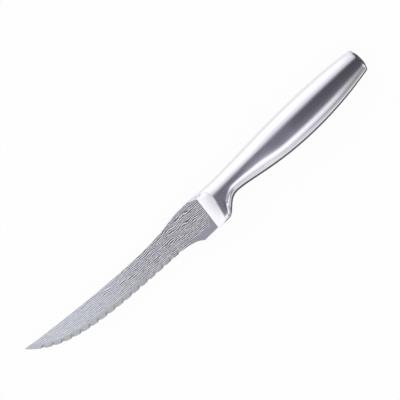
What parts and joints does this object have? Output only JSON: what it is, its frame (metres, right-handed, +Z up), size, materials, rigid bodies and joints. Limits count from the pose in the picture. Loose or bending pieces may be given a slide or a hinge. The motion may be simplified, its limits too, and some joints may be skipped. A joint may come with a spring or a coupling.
{
  "type": "tomato knife",
  "caption": "Slim serrated tomato knife with an upswept pointed blade, a ramped bolster with a finger guard, and a smooth hollow steel handle with a domed butt.",
  "frame": {"origin": "the knife lies on its right side, and the origin is in the plane it lies on, below the middle of its box", "axes": "+X from the tip towards the butt, along the handle; +Y from the cutting edge towards the spine; +Z up, out of the left face"},
  "size_m": [0.2438, 0.0274, 0.0156],
  "materials": {
    "etched_blade_steel": "fine brushed steel sheet with a flowing pattern of etched lines on both faces, plain ground edge",
    "satin_bolster_steel": "satin, with a soft sheen across the ramp",
    "satin_handle_steel": "satin, finely brushed along the handle",
    "satin_cap_steel": "satin, turned"
  },
  "bodies": {
    "root": {"blade": "etched_blade_steel", "bolster": "satin_bolster_steel", "handle_shell_left": "satin_handle_steel", "handle_shell_right": "satin_handle_steel", "butt_cap": "satin_cap_steel"}
  },
  "joints": []
}
